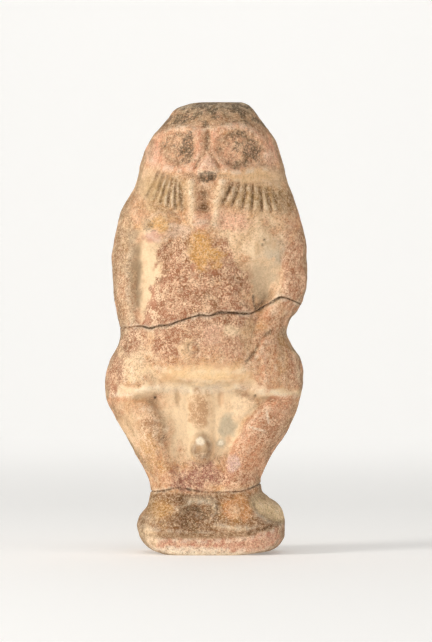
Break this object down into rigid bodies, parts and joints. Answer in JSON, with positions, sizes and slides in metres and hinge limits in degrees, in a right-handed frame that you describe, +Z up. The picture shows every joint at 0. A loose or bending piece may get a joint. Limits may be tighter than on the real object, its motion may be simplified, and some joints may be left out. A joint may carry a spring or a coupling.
{
  "type": "deity figurine",
  "caption": "Mould-pressed fired-clay statuette of a squat, lion-maned dwarf god on its own low plinth, with worn paint and old rejoined breaks.",
  "frame": {"origin": "centre of the box around the figure, on the underside of the plinth", "axes": "+Z up from the plinth to the crown, the face looks towards -Y, +X to the right as the face is seen"},
  "size_m": [0.0674, 0.0382, 0.15],
  "materials": {
    "clay": "matt, unglazed, worn slip and paint"
  },
  "bodies": {
    "root": {"figurine": "clay"}
  },
  "joints": []
}
